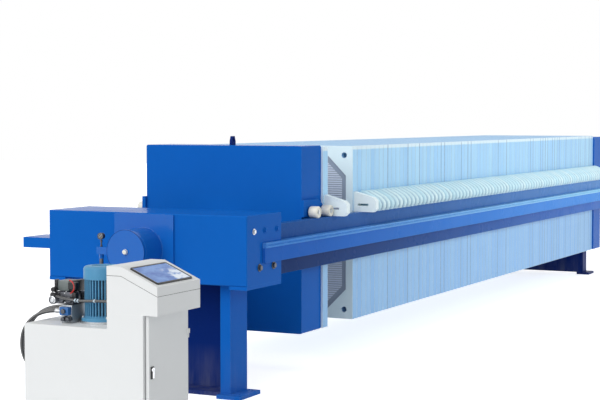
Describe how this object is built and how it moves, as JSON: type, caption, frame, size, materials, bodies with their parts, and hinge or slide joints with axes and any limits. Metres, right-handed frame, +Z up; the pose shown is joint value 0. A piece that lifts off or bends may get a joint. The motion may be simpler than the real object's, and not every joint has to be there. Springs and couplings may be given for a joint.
{
  "type": "plate filter press",
  "caption": "Automatic hydraulic plate filter press: recessed plates hung on two side beams, a sliding head driven by a cylinder, a thrust plate and a hydraulic station with console.",
  "frame": {"origin": "on the floor, midway between the four anchor holes of the hydraulic end's feet", "axes": "+X along the press from the hydraulic end to the thrust end, +Y across it towards the far side, away from the console's door, +Z up"},
  "size_m": [10.172, 2.016, 1.617],
  "materials": {
    "blue_paint": "gloss enamel",
    "navy_paint": "gloss enamel",
    "plate_plastic": "moulded polypropylene",
    "handle_plastic": "moulded polypropylene",
    "roller_plastic": "turned nylon",
    "rod_steel": "hard chromed, polished",
    "cabinet_paint": "powder coat",
    "motor_paint": "enamel over cast ribs",
    "valve_steel": "machined, phosphated",
    "black_plastic": "moulded",
    "hose_rubber": "ribbed cover"
  },
  "bodies": {
    "frame": {"chain_guards": "blue_paint", "console_body": "cabinet_paint", "console_hood": "cabinet_paint", "cylinder_seat": "blue_paint", "drive_housing": "blue_paint", "filter_plates": "plate_plastic", "front_filter_plate": "plate_plastic", "head_end_feet": "blue_paint", "head_end_legs": "blue_paint", "head_end_web": "blue_paint", "hose_cap_end": "hose_rubber", "hose_gauge_block": "hose_rubber", "hose_rod_end": "hose_rubber", "hydraulic_cylinder": "blue_paint", "main_beam_far": "navy_paint", "main_beam_near": "navy_paint", "motor_cable": "hose_rubber", "oil_tank": "cabinet_paint", "plate_handles_far": "handle_plastic", "plate_handles_near": "handle_plastic", "pressure_gauge": "black_plastic", "pump_motor": "motor_paint", "shifter_rails": "blue_paint", "solenoid_valves": "black_plastic", "thrust_feet": "blue_paint", "thrust_plate": "blue_paint", "thrust_stand": "navy_paint", "touch_panel": "black_plastic", "valve_block": "valve_steel"},
    "head": {"movable_head": "blue_paint", "head_filter_plate": "plate_plastic", "roller_brackets": "blue_paint", "lifting_eye": "blue_paint", "piston_rod": "rod_steel"},
    "door": {"console_door": "cabinet_paint", "door_lock": "black_plastic"},
    "roller_near_1": {"roller_near_1": "roller_plastic"},
    "roller_near_2": {"roller_near_2": "roller_plastic"},
    "roller_far_1": {"roller_far_1": "roller_plastic"},
    "roller_far_2": {"roller_far_2": "roller_plastic"}
  },
  "joints": [
    {"name": "head_slide", "type": "slide", "parent": "frame", "child": "head", "axis": [1, 0, 0], "range_m": [-0.05, 0.415]},
    {"name": "roller_near_1_spin", "type": "hinge", "parent": "head", "child": "roller_near_1", "pos_m": [0.868, -0.676, 1.1093], "axis": [0, 1, 0], "range_deg": [-75, 600]},
    {"name": "roller_near_2_spin", "type": "hinge", "parent": "head", "child": "roller_near_2", "pos_m": [1.062, -0.676, 1.1093], "axis": [0, 1, 0], "range_deg": [-75, 600]},
    {"name": "roller_far_1_spin", "type": "hinge", "parent": "head", "child": "roller_far_1", "pos_m": [0.868, 0.676, 1.1093], "axis": [0, 1, 0], "range_deg": [-75, 600]},
    {"name": "roller_far_2_spin", "type": "hinge", "parent": "head", "child": "roller_far_2", "pos_m": [1.062, 0.676, 1.1093], "axis": [0, 1, 0], "range_deg": [-75, 600]},
    {"name": "door_hinge", "type": "hinge", "parent": "frame", "child": "door", "pos_m": [-1.366, -1.01, 0.4], "axis": [0, 0, 1], "range_deg": [0, 110]}
  ],
  "couplings": [
    {"joint": "roller_near_1_spin", "follows": "head_slide", "rad_per_m": 25},
    {"joint": "roller_near_2_spin", "follows": "head_slide", "rad_per_m": 25},
    {"joint": "roller_far_1_spin", "follows": "head_slide", "rad_per_m": 25},
    {"joint": "roller_far_2_spin", "follows": "head_slide", "rad_per_m": 25}
  ]
}
